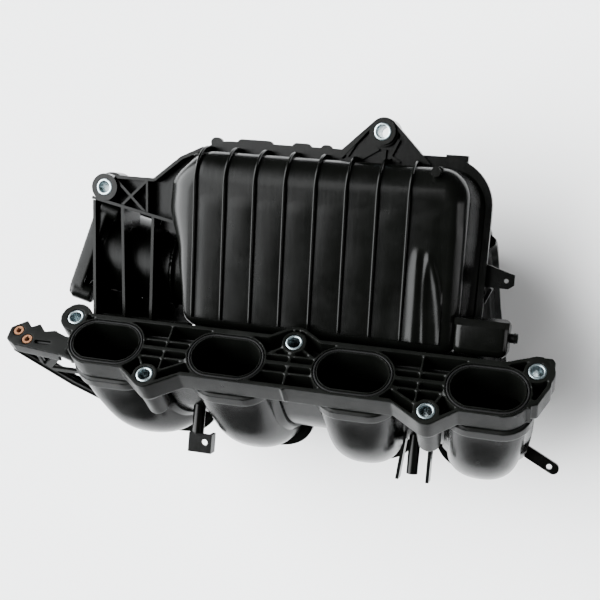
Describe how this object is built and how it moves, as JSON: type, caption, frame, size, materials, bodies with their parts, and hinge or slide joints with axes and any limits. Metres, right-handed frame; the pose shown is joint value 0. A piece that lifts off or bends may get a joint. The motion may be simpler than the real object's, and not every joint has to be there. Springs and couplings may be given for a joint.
{
  "type": "intake manifold",
  "caption": "Moulded engine intake manifold with a ribbed plenum, curved runners ending in oval ports on a bolted flange, steel bolt bushes, support lugs and a throttle inlet.",
  "frame": {"origin": "on the head flange face, midway between the second and third ports", "axes": "+X along the row of ports, +Y up the plenum face away from the ports, +Z out of the plenum face; the head flange face is tilted 40 degrees from +Z towards +Y"},
  "size_m": [0.4345, 0.281, 0.2065],
  "materials": {
    "black_plastic": "semi-gloss moulded glass-filled nylon",
    "seal_rubber": "matt black elastomer",
    "zinc_steel": "zinc-plated steel, slightly blue",
    "insert_brass": "knurled copper-coloured brass"
  },
  "bodies": {
    "root": {"head_flange": "black_plastic", "plenum_front_shell": "black_plastic", "plenum_rear_shell": "black_plastic", "runner_inner_shell": "black_plastic", "runner_cover_1": "black_plastic", "runner_cover_2": "black_plastic", "runner_cover_3": "black_plastic", "runner_cover_4": "black_plastic", "throttle_duct": "black_plastic", "left_bracket": "black_plastic", "vacuum_nipple": "black_plastic", "port_seal_1": "seal_rubber", "port_seal_2": "seal_rubber", "port_seal_3": "seal_rubber", "port_seal_4": "seal_rubber", "throttle_seal": "seal_rubber", "flange_bush_1": "zinc_steel", "flange_bush_2": "zinc_steel", "flange_bush_3": "zinc_steel", "flange_bush_4": "zinc_steel", "flange_bush_5": "zinc_steel", "support_bush_left": "zinc_steel", "support_bush_top": "zinc_steel", "throttle_insert_1": "insert_brass", "throttle_insert_2": "insert_brass", "throttle_insert_3": "insert_brass", "throttle_insert_4": "insert_brass", "bracket_insert_1": "insert_brass", "bracket_insert_2": "insert_brass"}
  },
  "joints": []
}
